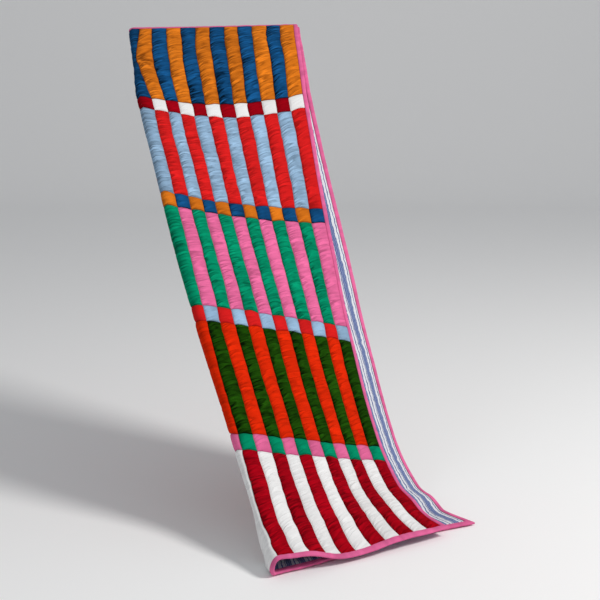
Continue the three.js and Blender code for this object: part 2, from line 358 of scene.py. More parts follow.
def wander_2d(a, v, pitch, seed):
    """The same over the whole cloth."""
    count = 256
    values = np.random.default_rng(seed).uniform(-1, 1, (count, count))
    start = 11
    x, y = a / pitch + start, v / pitch + start
    i, j = np.floor(x).astype(int), np.floor(y).astype(int)
    s, t = x - i, y - j
    s, t = s * s * (3 - 2 * s), t * t * (3 - 2 * t)
    left, right, top, bottom = i % count, (i + 1) % count, j % count, (j + 1) % count
    near = values[left, top] * (1 - s) + values[right, top] * s
    far = values[left, bottom] * (1 - s) + values[right, bottom] * s
    return near * (1 - t) + far * t


def rounded(distance, reach):
    """The rise of padding from a seam: steep at first, level at the reach."""
    t = np.clip(distance / reach, 0, 1)
    return (1 - (1 - t) ** ROUND_END) ** ROUND_START


# No seam is straight. Each wanders in short waves, those down the length also sway in long ones,
# those across jog from strip to strip, and those of the squares miss those of the bands a little.
SEAM_WANDER, WANDER_PITCH, WANDER_PITCH_ACROSS = 0.0012, 0.018, 0.020
SEAM_SWAY, SWAY_PITCH = 0.0019, 0.10
SEAM_JOG, JOG_PITCH = 0.0028, 0.040
OWN_WANDER, OWN_SWAY, OWN_ACROSS = 7.31, 3.13, 3.77  # from one seam's waves to the next one's
SEAM_MISS = 0.0016
CROSSING = 0.004  # this near a seam across, those down the length come back to their line
SEAM_ARCH = 0.0028  # how far a patch's end bulges up between its corners
FOLD_DRAW = 0.010  # how far the seam at the fold is drawn round to the back
FOLD_DRAW_FROM, FOLD_DRAW_FULL = 4 * STRIP, 7 * STRIP
seam_miss = chance.uniform(-SEAM_MISS, SEAM_MISS, (PARTS, STRIPS_ACROSS + 1))
seam_miss[:, 0] = seam_miss[:, -1] = 0


def sewn(a, v):
    """Where the cloth's places lie once the stitching has drawn the seams about."""
    seam = np.clip(np.round(a / STRIP), 0, STRIPS_ACROSS).astype(int)
    nearness = np.clip(1 - np.abs(a / STRIP - seam) * 2, 0, 1)
    part = np.clip(np.searchsorted(seams_down, v, side="right") - 1, 0, PARTS - 1)
    inner = (seam > 0) & (seam < STRIPS_ACROSS)
    drawn = SEAM_WANDER * wander(v + seam * OWN_WANDER, WANDER_PITCH, seed=5) * inner
    drawn = drawn + SEAM_SWAY * wander(v + seam * OWN_SWAY, SWAY_PITCH, seed=17) * inner
    shift_a = (drawn + seam_miss[part, seam]) * nearness
    down = np.clip(np.searchsorted(seams_down, v + STRIP / 2, side="right") - 1, 0, PARTS)
    off = np.abs(v - seams_down[down])
    inner_down = (down > 0) & (down < PARTS)
    near_down = np.clip(1 - off / (STRIP / 2), 0, 1) * inner_down
    shift_a = shift_a * np.where(inner_down, smoothstep(off, 0, CROSSING), 1)
    in_strip = a / STRIP - np.floor(a / STRIP)
    bulge = SEAM_ARCH * (1 - (2 * in_strip - 1) ** 2)
    jog = SEAM_JOG * wander(a + down * OWN_ACROSS, JOG_PITCH, seed=16)
    ripple = SEAM_WANDER * wander(a + down * OWN_ACROSS, WANDER_PITCH_ACROSS, seed=6)
    shift_v = (ripple + jog - bulge) * near_down
    round_fold = FOLD_DRAW * (seam == FRONT_STRIPS) * nearness
    round_fold = round_fold * smoothstep(v, FOLD_DRAW_FROM, FOLD_DRAW_FULL)
    round_fold = round_fold * (1 - smoothstep(v, LIES_FROM, LENGTH))
    return a + shift_a + round_fold, v + shift_v


# The throw is gathered up at the fold, a little below its corner: the seams of the first band are
# drawn toward the gather and creases fan out from it. The other end of the top edge is pinched.
GATHER_A = 11.0 * STRIP
GATHER_V = 2.9 * STRIP
GATHER_DRAW = 0.008
GATHER_UP, GATHER_DOWN = 1.1 * STRIP, 1.3 * STRIP  # how far up and down the seams are drawn to it
TOP_SLACK, TOP_SLACK_REACH = 0.010, 2.0 * STRIP  # the strip at the fold spreads out above it
SLACK, SLACK_V, SLACK_REACH = 0.011, 7.2 * STRIP, 1.8 * STRIP  # and again below it
DRAW_FROM_FRONT, DRAW_FROM_FOLD, SLACK_ACROSS = 0.62, 1.3, 1.4  # reach across, in strips
GATHER_CREASES = (  # degrees down from straight across, length, depth, half width
    (-36, 0.085, 0.0042, 0.0034),
    (-12, 0.055, 0.0028, 0.0028),
    (8, 0.045, 0.0022, 0.0026),
    (30, 0.090, 0.0048, 0.0036),
    (52, 0.110, 0.0032, 0.0036),
)
PINCH_A = 0.2 * STRIP
PINCH_V = 2.1 * STRIP
PINCH_CREASES = (  # the same, toward the fold
    (-30, 0.045, 0.0010, 0.0022),
    (8, 0.060, 0.0013, 0.0023),
    (40, 0.085, 0.0012, 0.0026),
    (62, 0.070, 0.0010, 0.0026),
)
FAN_START = (-0.004, 0.012)  # a crease of the fan deepens between these
FAN_FADE, FAN_WIDENING = 0.3, 1.2  # it fades from this part of its length on, and widens by so much


def fan(a, v, at_a, at_v, toward, creases):
    """The depth of creases that fan out from one place, widening and dying out."""
    depth = np.zeros(np.broadcast(a, v).shape)
    for angle, length, deep, half_width in creases:
        way = math.radians(angle)
        x, y = (a - at_a) * toward, v - at_v
        along = x * math.cos(way) + y * math.sin(way)
        aside = -x * math.sin(way) + y * math.cos(way)
        fade = 1 - smoothstep(along, FAN_FADE * length, length)
        fade = smoothstep(along, *FAN_START) * fade
        widening = half_width * (1 + FAN_WIDENING * np.clip(along / length, 0, 1))
        depth += deep * np.exp(-((aside / widening) ** 2)) * fade
    return depth


def drawn_to_gather(a, v):
    """The cloth's shift toward the fold beside the gather, and away from it above and below."""
    spread = np.where(v < GATHER_V, GATHER_UP, GATHER_DOWN)
    beside = GATHER_DRAW * np.exp(-(((v - GATHER_V) / spread) ** 2))
    above = TOP_SLACK * np.exp(-((np.maximum(v, 0) / TOP_SLACK_REACH) ** 2))
    below = SLACK * np.exp(-(((v - SLACK_V) / SLACK_REACH) ** 2))
    across = (a - GATHER_A) / STRIP
    close = np.exp(-((across / np.where(across < 0, DRAW_FROM_FRONT, DRAW_FROM_FOLD)) ** 2))
    wide = np.exp(-((across / SLACK_ACROSS) ** 2))
    return (beside - above) * close - below * wide


# Puckers: each starts at a seam, mostly the one nearer the fold, rises in an arch across its
# strip and dies out. The arches of one patch peak at the same place across it.
PUCKER_PITCH = 0.017
PUCKER_GAP = (0.5, 1.7)  # in pitches, from one to the next
FIRST_PUCKER, LAST_PUCKER = (0.2, 0.8), 0.3  # in pitches, from the ends of a patch
PUCKER_DEPTH, WHITE_DEPTH, SQUARE_DEPTH = 0.0012, 0.0006, 0.0005
PUCKER_SHARE = (0.3, 1.0)  # of that depth
PUCKER_HALF_WIDTH = (0.0026, 0.0040)
PUCKER_LENGTH = (0.4, 1.15)  # of the way across a strip
PUCKER_FADE = 0.4  # it fades from this part of its length on
SQUARE_LENGTH = 0.6  # they are shorter in the squares
FROM_THE_FOLD = 0.72  # the share that starts at the seam nearer the fold
SLANT = 0.05  # a usual slant, in strips up or down over the width of one
RIDGE, RIDGE_OFF = 0.45, 1.9  # the ridge below each valley: its height, and half widths down to it
ARCH = 0.015  # how far up an arch rises
ARCH_PEAK = (0.75, 1.5)  # past 1 the arch is still rising at the far seam
arch_peak = chance.uniform(*ARCH_PEAK, (PARTS, STRIPS_ACROSS))


def arch(far, peak):
    """The rise of a pucker at a part of the way across its strip, with its peak at another."""
    return ARCH * (1 - ((far - peak) / np.maximum(peak, 1 - peak)) ** 2)


pucker_depth = np.zeros((len(face_v), len(face_a)))
for part in range(PARTS):
    squares = part % 2 == 1
    rows = np.nonzero((face_v >= seams_down[part]) & (face_v <= seams_down[part + 1]))[0]
    v = face_v[rows][:, None]
    for strip in range(STRIPS_ACROSS):
        columns = np.nonzero((face_a >= strip * STRIP) & (face_a <= (strip + 1) * STRIP))[0]
        block = np.ix_(rows, columns)
        far = 1 - (face_a[columns][None, :] / STRIP - strip)
        peak = arch_peak[part, strip]
        white = patch_colour(part, strip) == "white"
        strength = SQUARE_DEPTH if squares else (WHITE_DEPTH if white else PUCKER_DEPTH)
        at = seams_down[part] + chance.uniform(*FIRST_PUCKER) * PUCKER_PITCH
        end = seams_down[part + 1] - LAST_PUCKER * PUCKER_PITCH
        while at < end:
            from_fold = chance.uniform() < FROM_THE_FOLD
            run = far if from_fold else 1 - far
            length = chance.uniform(*PUCKER_LENGTH) * (SQUARE_LENGTH if squares else 1)
            deep = chance.uniform(*PUCKER_SHARE) * strength
            half_width = chance.uniform(*PUCKER_HALF_WIDTH)
            slant = chance.normal(0, SLANT) * STRIP
            aside = v - at + arch(far, peak) - arch(1 - from_fold, peak) + slant * run
            fade = 1 - smoothstep(run, PUCKER_FADE * length, length)
            valley = np.exp(-((aside / half_width) ** 2))
            ridge = RIDGE * np.exp(-(((aside - RIDGE_OFF * half_width) / half_width) ** 2))
            pucker_depth[block] += deep * fade * (valley - ridge)
            at += PUCKER_PITCH * chance.uniform(*PUCKER_GAP)


def padding(a, v):
    """Where the cloth is pieced, how full it is padded there, and how far the seams across are."""
    to_seam = np.abs(a / STRIP - np.round(a / STRIP)) * STRIP
    to_seam_across = np.abs(v[..., None] - seams_down).min(-1)
    pieced = (a > 0) & (a < WIDTH) & (v > 0) & (v < LENGTH)
    full = rounded(to_seam, ROUND_ACROSS) * rounded(to_seam_across, ROUND_ALONG)
    return pieced, full, to_seam_across


FULLNESS, FULLNESS_PITCH = 0.13, 0.07  # the padding is fuller in some places
STITCHED = 0.05  # less padding than this is the line of stitches
UNDER_BINDING = -0.002  # the raw edges are pressed thinner
flat_a, flat_v = np.meshgrid(face_a, face_v)
on_patch, pad, _ = padding(flat_a, flat_v)
fullness = 1 + FULLNESS * wander_2d(flat_a, flat_v, FULLNESS_PITCH, seed=7)
creases = fan(flat_a, flat_v, GATHER_A, GATHER_V, -1, GATHER_CREASES)
creases += fan(flat_a, flat_v, PINCH_A, PINCH_V, 1, PINCH_CREASES)
pad_height = CREST * pad * fullness - (pucker_depth + creases) * np.sqrt(pad)
pad_height = np.where(on_patch, pad_height, UNDER_BINDING)
in_ditch = on_patch & (pad < STITCHED)
pad_height = np.where(in_ditch, -DITCH, pad_height)

SETTLE, SETTLE_PITCH = 0.0018, 0.16  # broad unevenness of the whole cloth
SETTLE_FROM_EDGE = 0.15  # it grows over this distance from the top edge and the foot
ON_THE_GROUND = 0.0003  # padding that meets the ground is pressed flat
CURL_FROM = 0.006  # the top edge is rolled back a little along its binding
CURL = math.tan(math.radians(24))
BACKWARD = -front_frame(np.array([HALF / 2]), np.array([0.0]))[1][0]


def broad(a, v):
    """The unevenness that the two layers share, as they lie on each other."""
    inside = smoothstep(np.minimum(v, LENGTH - v), 0, SETTLE_FROM_EDGE)
    fold_start, loop = section("front", v), section("loop", v)
    turned = np.clip((a - fold_start) / loop, 0, np.pi)
    from_fold = np.abs(a - fold_start - np.pi * loop / 2)
    return SETTLE * wander_2d(from_fold, v, SETTLE_PITCH, seed=8) * inside * np.cos(turned)


def place(a, v, height):
    """A point of the cloth at a height over its sewn-down face."""
    sewn_a, sewn_v = sewn(a, v)
    sewn_a = sewn_a + drawn_to_gather(sewn_a, sewn_v)
    normal = outward(sewn_a, sewn_v)
    point = hang(sewn_a, sewn_v) + normal * (height + broad(a, v))[..., None]
    point += BACKWARD * (CURL * np.maximum(CURL_FROM - v, 0))[..., None]
    point[..., 2] = np.maximum(point[..., 2], ON_THE_GROUND)
    return point


# The backing lies under the padding and puffs out a little, unevenly, between the seams. Those
# across draw it in.
BACKING_STEPS = (0, 0.08, 0.5, 0.92)
BACKING_PUFF = 0.0014
BACKING_RIPPLE, BACKING_RIPPLE_PITCH = 0.6, 0.020
BACKING_DRAW, BACKING_DRAW_REACH = 0.0016, 0.006
back_a = columns_of_points(BACKING_STEPS)
back_v = face_v[::2]
back_flat_a, back_flat_v = np.meshgrid(back_a, back_v)
back_pieced, back_pad, back_to_seam_across = padding(back_flat_a, back_flat_v)
back_ripple = wander_2d(back_flat_a, back_flat_v, BACKING_RIPPLE_PITCH, seed=9)
back_pad *= 1 + BACKING_RIPPLE * back_ripple
back_draw = BACKING_DRAW * np.exp(-((back_to_seam_across / BACKING_DRAW_REACH) ** 2))
back_height = np.where(
    back_pieced, back_draw - SEAM_THICKNESS - BACKING_PUFF * back_pad,
    -SEAM_THICKNESS - UNDER_BINDING,
)


def mesh_piece(name, points, faces):
    """A smooth mesh object from points and faces."""
    data = bpy.data.meshes.new(name)
    data.from_pydata(points.tolist(), [], faces)
    data.validate()
    piece = bpy.data.objects.new(name, data)
    bpy.context.collection.objects.link(piece)
    data.polygons.foreach_set("use_smooth", np.ones(len(data.polygons), bool))
    return piece


def grid_quads(first, rows, columns, turned_over):
    """The quads of a grid of points whose first has the given number."""
    index = first + np.arange(rows * columns).reshape(rows, columns)
    quads = np.stack([index[:-1, :-1], index[:-1, 1:], index[1:, 1:], index[1:, :-1]], -1)
    quads = quads.reshape(-1, 4)
    return quads[:, ::-1] if turned_over else quads


face_points = place(flat_a, flat_v, pad_height).reshape(-1, 3)
back_points = place(back_flat_a, back_flat_v, back_height).reshape(-1, 3)
face_rows, face_columns = flat_a.shape
back_rows, back_columns = back_flat_a.shape
face_quads = grid_quads(0, face_rows, face_columns, False)
back_quads = grid_quads(len(face_points), back_rows, back_columns, True)


def rim(rows, columns, first):
    """The numbers of a grid's border points, one side after the other."""
    index = first + np.arange(rows * columns).reshape(rows, columns)
    return [index[0, :], index[:, -1], index[-1, ::-1], index[::-1, 0]]


def zip_rims(outer, outer_at, inner, inner_at):
    """Triangles between a side of the face and one of the backing, whose points aren't paired."""
    faces = []
    i = k = 0
    while i < len(outer) - 1 or k < len(inner) - 1:
        next_outer = outer_at[i + 1] if i < len(outer) - 1 else np.inf
        next_inner = inner_at[k + 1] if k < len(inner) - 1 else np.inf
        if next_outer <= next_inner:
            faces.append((int(outer[i + 1]), int(outer[i]), int(inner[k])))
            i += 1
        else:
            faces.append((int(outer[i]), int(inner[k]), int(inner[k + 1])))
            k += 1
    return faces


border_faces = []
face_sides = rim(face_rows, face_columns, 0)
back_sides = rim(back_rows, back_columns, len(face_points))
face_places = [face_a, face_v, -face_a[::-1], -face_v[::-1]]
back_places = [back_a, back_v, -back_a[::-1], -back_v[::-1]]
for side in zip(face_sides, face_places, back_sides, back_places):
    border_faces += zip_rims(*side)

quilt = mesh_piece(
    "quilted_cloth",
    np.vstack([face_points, back_points]),
    [*face_quads.tolist(), *back_quads.tolist(), *border_faces],
)

# The flat cloth, face and backing side by side, gives every point its place on the cloth.
CLOTH_MAP = 2.7  # metres of cloth to one unit of the map
MAP_MARGIN = 0.01
BACKING_OFFSET = 0.5


def map_points(piece, name, places):
    """A map of a piece that gives each of its points a place."""
    point_of_corner = np.zeros(len(piece.data.loops), int)
    piece.data.loops.foreach_get("vertex_index", point_of_corner)
    new_map = piece.data.uv_layers.new(name=name)
    new_map.data.foreach_set("uv", places[point_of_corner].ravel())


map_face = np.stack([flat_a / CLOTH_MAP + MAP_MARGIN, flat_v / CLOTH_MAP + MAP_MARGIN], -1)
map_back = np.stack(
    [back_flat_a / CLOTH_MAP + BACKING_OFFSET, back_flat_v / CLOTH_MAP + MAP_MARGIN], -1
)
map_points(quilt, "cloth", np.vstack([map_face.reshape(-1, 2), map_back.reshape(-1, 2)]))

# A second map follows the arches, so that fine creases run along them. They lie on another
# stretch of the map in every strip.
CREASE_MAP = 10.0  # metres of cloth to one unit of the map
STRETCH_TO_STRETCH = 0.37
ROUNDING = 1e-6  # a column on a seam belongs to the strip after it
strip_of_column = np.clip(np.floor(face_a / STRIP + ROUNDING), 0, STRIPS_ACROSS - 1).astype(int)
quad_parts, quad_strips = np.meshgrid(part_of_row[:-1], strip_of_column[:-1], indexing="ij")
flat_face = np.stack([flat_a.ravel(), flat_v.ravel()], -1)
corners = flat_face[face_quads]
corner_peaks = arch_peak[quad_parts, quad_strips].reshape(-1, 1)
corner_strips = quad_strips.reshape(-1, 1)
corner_far = np.clip(1 - (corners[..., 0] / STRIP - corner_strips), 0, 1)
crease_x = corner_far * STRIP + STRETCH_TO_STRETCH * corner_strips
crease_y = corners[..., 1] + arch(corner_far, corner_peaks)
crease_map = quilt.data.uv_layers.new(name="creases")
crease_uv = np.zeros((len(quilt.data.loops), 2))
crease_uv[: crease_x.size] = np.stack([crease_x.ravel(), crease_y.ravel()], -1) / CREASE_MAP
crease_map.data.foreach_set("uv", crease_uv.ravel())


def set_on_points(piece, name, values):
    """A value for each point of a piece, which its materials read by name."""
    piece.data.attributes.new(name, "FLOAT", "POINT")
    piece.data.attributes[name].data.foreach_set("value", values.ravel().astype(np.float32))


# Painted light and shade: the velvet is painted at half shade by the seams, lighter on top of the
# padding, darker in puckers and creases and darkest along the stitches, where shade falls. Each
# patch is cut on its own, so its pile lies a little its own way and its tone differs at random.
PAINTED_SHADE_AT_SEAM, PAINTED_LIGHT_ON_PADDING, PAINTED_SHADE_IN_VALLEY = 0.44, 0.25, 0.45
PAINTED_SHADE_IN_DITCH = -0.35
VALLEY_DEPTH = 0.0024
RIDGE_MOST, VALLEY_MOST = -0.001, 0.004  # past these the painted light and shade go no further
PATCH_LIE = 0.07
valley = np.clip(pucker_depth + creases, RIDGE_MOST, VALLEY_MOST) / VALLEY_DEPTH
pile_and_painted_shade = np.clip(PAINTED_SHADE_AT_SEAM + PAINTED_LIGHT_ON_PADDING * pad - PAINTED_SHADE_IN_VALLEY * valley, 0, 1)
patch_lie = chance.normal(0, PATCH_LIE, (PARTS, STRIPS_ACROSS))
pile_and_painted_shade += patch_lie[np.ix_(part_of_row, strip_of_column)]
pile_and_painted_shade = np.where(in_ditch, PAINTED_SHADE_IN_DITCH, pile_and_painted_shade)
none_on_backing = np.zeros(len(back_points))
set_on_points(quilt, "pile_and_painted_shade", np.concatenate([pile_and_painted_shade.ravel(), none_on_backing]))

# The pull of the stitching is strongest near the seam nearer the fold, and weak in the squares.
PULL_FAR, PULL_NEAR, PULL_EVEN_TO = 0.35, 1.0, 0.15
PULL_IN_SQUARES = 0.4
far_at = 1 - (flat_a / STRIP - np.floor(flat_a / STRIP))
pull = PULL_FAR + (PULL_NEAR - PULL_FAR) * np.clip(1 + PULL_EVEN_TO - far_at, 0, 1)
in_squares = part_of_row[:, None] % 2 == 1
pull *= np.where(in_squares, PULL_IN_SQUARES, 1.0) * np.where(on_patch, 1, 0)
set_on_points(quilt, "pull", np.concatenate([pull.ravel(), none_on_backing]))


def wire(tree, source, target):
    """A link from one socket to another."""
    tree.links.new(source, target)


def new_material(name):
    """A material, its nodes and its shader."""
    material = bpy.data.materials.new(name)
    material.use_nodes = True
    tree = material.node_tree
    return material, tree, tree.nodes["Principled BSDF"]


def cloth_places(tree, name="cloth", metres=CLOTH_MAP):
    """The place on one of the cloth's maps, in metres."""
    where = tree.nodes.new("ShaderNodeUVMap")
    where.uv_map = name
    scale = tree.nodes.new("ShaderNodeVectorMath")
    scale.operation = "MULTIPLY"
    scale.inputs[1].default_value = (metres,) * 3
    wire(tree, where.outputs["UV"], scale.inputs[0])
    return scale.outputs["Vector"]


def cloud(tree, places, pitch, detail=2.0, roughness=0.5, stretch=(1, 1, 1)):
    """Even cloudy variation with a pitch in metres."""
    bend = tree.nodes.new("ShaderNodeMapping")
    bend.inputs["Scale"].default_value = stretch
    noise = tree.nodes.new("ShaderNodeTexNoise")
    noise.inputs["Scale"].default_value = 1 / pitch
    noise.inputs["Detail"].default_value = detail
    noise.inputs["Roughness"].default_value = roughness
    wire(tree, places, bend.inputs["Vector"])
    wire(tree, bend.outputs["Vector"], noise.inputs["Vector"])
    return noise.outputs["Fac"]


def remap(tree, value, low, high, to_low, to_high):
    """A value from one range, stretched onto another and held inside it."""
    node = tree.nodes.new("ShaderNodeMapRange")
    for key, number in (
        ("From Min", low), ("From Max", high), ("To Min", to_low), ("To Max", to_high),
    ):
        node.inputs[key].default_value = number
    wire(tree, value, node.inputs["Value"])
    return node.outputs["Result"]


CLOUD_LOW, CLOUD_HIGH = 0.3, 0.7  # most of a cloud's values lie between these


def swing(tree, value, amount):
    """A cloud as a swing by an amount to either side of nothing."""
    return remap(tree, value, CLOUD_LOW, CLOUD_HIGH, -amount, amount)


def arithmetic(tree, operation, first, second):
    """Two values added, subtracted, multiplied or the like."""
    node = tree.nodes.new("ShaderNodeMath")
    node.operation = operation
    for socket, value in zip(node.inputs, (first, second)):
        if isinstance(value, (int, float)):
            socket.default_value = value
        else:
            wire(tree, value, socket)
    return node.outputs["Value"]


def blend_colours(tree, amount, first, second):
    """A colour part of the way from one to another."""
    node = tree.nodes.new("ShaderNodeMix")
    node.data_type = "RGBA"
    factor, first_colour, second_colour = node.inputs[0], node.inputs[6], node.inputs[7]
    wire(tree, amount, factor)
    first_colour.default_value = (*first, 1)
    second_colour.default_value = (*second, 1)
    return node.outputs[2]


def stepped(tree, value, steps, kind="LINEAR"):
    """A colour for each value, from steps of where it begins and the colour there."""
    node = tree.nodes.new("ShaderNodeValToRGB")
    node.color_ramp.interpolation = kind
    stops = node.color_ramp.elements
    while len(stops) < len(steps):
        stops.new(1.0)
    for stop, (begins, colour) in zip(stops, steps):
        stop.position = begins
        stop.color = (*colour, 1)
    wire(tree, value, node.inputs["Fac"])
    return node.outputs["Color"]


def bumps(tree, shader, height, strength, distance):
    """Relief too fine for the mesh."""
    bump = tree.nodes.new("ShaderNodeBump")
    bump.inputs["Strength"].default_value = strength
    bump.inputs["Distance"].default_value = distance
    wire(tree, height, bump.inputs["Height"])
    wire(tree, bump.outputs["Normal"], shader.inputs["Normal"])


def attribute(tree, name):
    """A value that was set on the points."""
    node = tree.nodes.new("ShaderNodeAttribute")
    node.attribute_name = name
    return node.outputs["Fac"]


PRESSED_MARK, PRESSED_PITCH, PRESSED_STRETCH = 0.16, 0.060, (1, 0.6, 1)  # broad marks in the pile
PILE_MARK, PILE_PITCH = 0.07, 0.0022  # its own grain, in its shade
TUFT_HEIGHT, TUFT_PITCH = 0.10, 0.0018  # and in its relief
GRAIN_ROUGHNESS = 0.6
CREASE_PITCH, CREASE_STRETCH = 0.021, (0.17, 1, 1)  # the long creases between the puckers
FINE_MARK, FINE_PITCH, FINE_STRETCH = 0.32, 0.0085, (0.22, 1, 1)  # and the fine ones between those
PATCHY_PITCH = 0.04  # creases come and go over this distance
PATCHY_FROM, PATCHY_TO, PATCHY_LEAST = 0.38, 0.58, 0.45
CREASE_PROFILE = (  # place on the rise from one crease to the next, and the level there: relief, with painted shade in the crease and a painted highlight beside it
    (0.30, 0.50), (0.44, 0.46), (0.50, 0.00), (0.555, 1.00), (0.66, 0.56), (0.80, 0.50),
)
CREASE_LEVEL = 0.5  # a place at this level is neither in a crease nor beside one, and is painted neither darker nor lighter
CREASE_PAINTED_SHADE = 0.95  # how strongly a crease is painted into the colour: shade in it, a highlight beside it
SHADE_FROM, SHADE_TO = 0.10, 1.15  # from fully pressed and in painted shade to fully standing and painted lit
LIGHTEST = 0.9
RELIEF, PALE_RELIEF_LOSS = 1.15, 0.75  # pale velvets are shaded less by their own creases
RELIEF_DEPTH = 0.0032


def velvet(name, colour, pressed_and_shaded_strength, standing_and_lit_strength, creased=True):
    """Cotton velvet: a matt ground, a pile with a soft sheen, marks where it was pressed, and
    painted shade and highlights by its seams and creases.
    """
    material, tree, shader = new_material(name)
    places = cloth_places(tree)
    marks = cloud(tree, places, PRESSED_PITCH, stretch=PRESSED_STRETCH)
    pressed = swing(tree, marks, PRESSED_MARK)
    pile = swing(tree, cloud(tree, places, PILE_PITCH, roughness=GRAIN_ROUGHNESS), PILE_MARK)
    standing_and_painted_shade = arithmetic(tree, "ADD", pressed, pile)
    # The painted shade and light by the seams, puckers, creases and stitches, and each patch's own
    # lie.
    standing_and_painted_shade = arithmetic(tree, "ADD", attribute(tree, "pile_and_painted_shade"), standing_and_painted_shade)
    tufts = cloud(tree, places, TUFT_PITCH, roughness=GRAIN_ROUGHNESS)
    height = remap(tree, tufts, 0.0, 1.0, 0.0, TUFT_HEIGHT)
    if creased:
        along_creases = cloth_places(tree, "creases", CREASE_MAP)
        slow = cloud(tree, along_creases, CREASE_PITCH, detail=1.5, stretch=CREASE_STRETCH)
        steps = [(begins, (stands,) * 3) for begins, stands in CREASE_PROFILE]
        profile = stepped(tree, slow, steps)
        fine = cloud(tree, along_creases, FINE_PITCH, detail=1, stretch=FINE_STRETCH)
        rise = arithmetic(tree, "SUBTRACT", profile, CREASE_LEVEL)
        rise = arithmetic(tree, "ADD", rise, swing(tree, fine, FINE_MARK))
        patchy = cloud(tree, places, PATCHY_PITCH, detail=1)
        patchy = remap(tree, patchy, PATCHY_FROM, PATCHY_TO, PATCHY_LEAST, 1.0)
        rise = arithmetic(tree, "MULTIPLY", rise, attribute(tree, "pull"))
        rise = arithmetic(tree, "MULTIPLY", rise, patchy)
        # Painted shade in each crease and a painted highlight on the ridge beside it.
        painted_crease_shade = arithmetic(tree, "MULTIPLY", rise, CREASE_PAINTED_SHADE)
        standing_and_painted_shade = arithmetic(tree, "ADD", standing_and_painted_shade, painted_crease_shade)
        height = arithmetic(tree, "ADD", height, rise)
    shade = remap(tree, standing_and_painted_shade, SHADE_FROM, SHADE_TO, 0.0, 1.0)
    deep = tuple(pressed_and_shaded_strength * c for c in colour)
    light = tuple(min(LIGHTEST, standing_and_lit_strength * c) for c in colour)
    wire(tree, blend_colours(tree, shade, deep, light), shader.inputs["Base Color"])
    shader.inputs["Roughness"].default_value = 0.94
    shader.inputs["Specular IOR Level"].default_value = 0.02
    shader.inputs["Sheen Weight"].default_value = 0.16
    shader.inputs["Sheen Roughness"].default_value = 0.42
    shader.inputs["Sheen Tint"].default_value = (*(c**0.5 for c in colour), 1)
    relief = RELIEF - PALE_RELIEF_LOSS * pressed_and_shaded_strength
    bumps(tree, shader, height, relief, RELIEF_DEPTH)
    return material


velvet_slot = {}
for colour_name, kind in VELVETS.items():
    velvet_slot[colour_name] = len(quilt.data.materials)
    quilt.data.materials.append(velvet("velvet_" + colour_name, *kind))


# The backing's stripes run down the length: a wide slate one with pale lines in it, and a thin
# blue one on either side, on white.
STRIPE_REPEAT = 0.041
WAVER, WAVER_PITCH = 0.005, 0.018  # the stripes aren't quite straight on the puckered cloth
SLUB_PITCH, SLUB_STRETCH = 0.0016, (1, 0.25, 1)
SLUB_DARK, SLUB_BRIGHT = 0.86, 1.06
THREAD_PITCH, THREAD_RELIEF, THREAD_DEPTH = 0.0009, 0.3, 0.0004
WARP, WEFT = (1, 0.02, 1), (0.02, 1, 1)
WOVEN_WHITE = (0.70, 0.72, 0.76)
WOVEN_BLUE = (0.060, 0.090, 0.27)
WOVEN_SLATE = (0.105, 0.145, 0.33)
WOVEN_PALE = (0.30, 0.36, 0.54)
STRIPES = (  # where each begins, from the free side, and its colour
    (0.0000, WOVEN_WHITE), (0.0076, WOVEN_BLUE), (0.0106, WOVEN_WHITE), (0.0195, WOVEN_SLATE),
    (0.0240, WOVEN_PALE), (0.0254, WOVEN_SLATE), (0.0303, WOVEN_PALE), (0.0317, WOVEN_SLATE),
    (0.0362, WOVEN_WHITE), (0.0380, WOVEN_BLUE), (0.0406, WOVEN_WHITE),
)


def striped_cotton(name):
    """Plain woven cotton with stripes in the warp."""
    material, tree, shader = new_material(name)
    places = cloth_places(tree)
    split = tree.nodes.new("ShaderNodeSeparateXYZ")
    wire(tree, places, split.inputs[0])
    waver = remap(tree, cloud(tree, places, WAVER_PITCH), 0.0, 1.0, -WAVER, WAVER)
    across = arithmetic(tree, "ADD", split.outputs["X"], waver)
    from_side = arithmetic(tree, "SUBTRACT", WIDTH + BACKING_OFFSET * CLOTH_MAP, across)
    repeats = arithmetic(tree, "DIVIDE", from_side, STRIPE_REPEAT)
    in_repeat = arithmetic(tree, "FRACT", repeats, 0.0)
    steps = [(begins / STRIPE_REPEAT, colour) for begins, colour in STRIPES]
    stripes = stepped(tree, in_repeat, steps, "CONSTANT")
    slub = cloud(tree, places, SLUB_PITCH, roughness=GRAIN_ROUGHNESS, stretch=SLUB_STRETCH)
    slub = remap(tree, slub, CLOUD_LOW, CLOUD_HIGH, SLUB_DARK, SLUB_BRIGHT)
    brightness = tree.nodes.new("ShaderNodeVectorMath")
    brightness.operation = "SCALE"
    wire(tree, stripes, brightness.inputs[0])
    wire(tree, slub, brightness.inputs["Scale"])
    wire(tree, brightness.outputs["Vector"], shader.inputs["Base Color"])
    shader.inputs["Roughness"].default_value = 0.88
    shader.inputs["Specular IOR Level"].default_value = 0.15
    shader.inputs["Sheen Weight"].default_value = 0.1
    threads = [cloud(tree, places, THREAD_PITCH, detail=1, stretch=way) for way in (WARP, WEFT)]
    bumps(tree, shader, arithmetic(tree, "ADD", *threads), THREAD_RELIEF, THREAD_DEPTH)
    return material


stripe_slot = len(quilt.data.materials)
quilt.data.materials.append(striped_cotton("striped_backing"))

slot_table = np.array([
    [velvet_slot[patch_colour(part, strip)] for strip in range(STRIPS_ACROSS)]
    for part in range(PARTS)
])
slots = np.full(len(quilt.data.polygons), stripe_slot)
slots[: len(face_quads)] = slot_table[quad_parts.ravel(), quad_strips.ravel()]
quilt.data.polygons.foreach_set("material_index", slots.astype(np.int32))

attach(quilt, "root")
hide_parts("quilt")

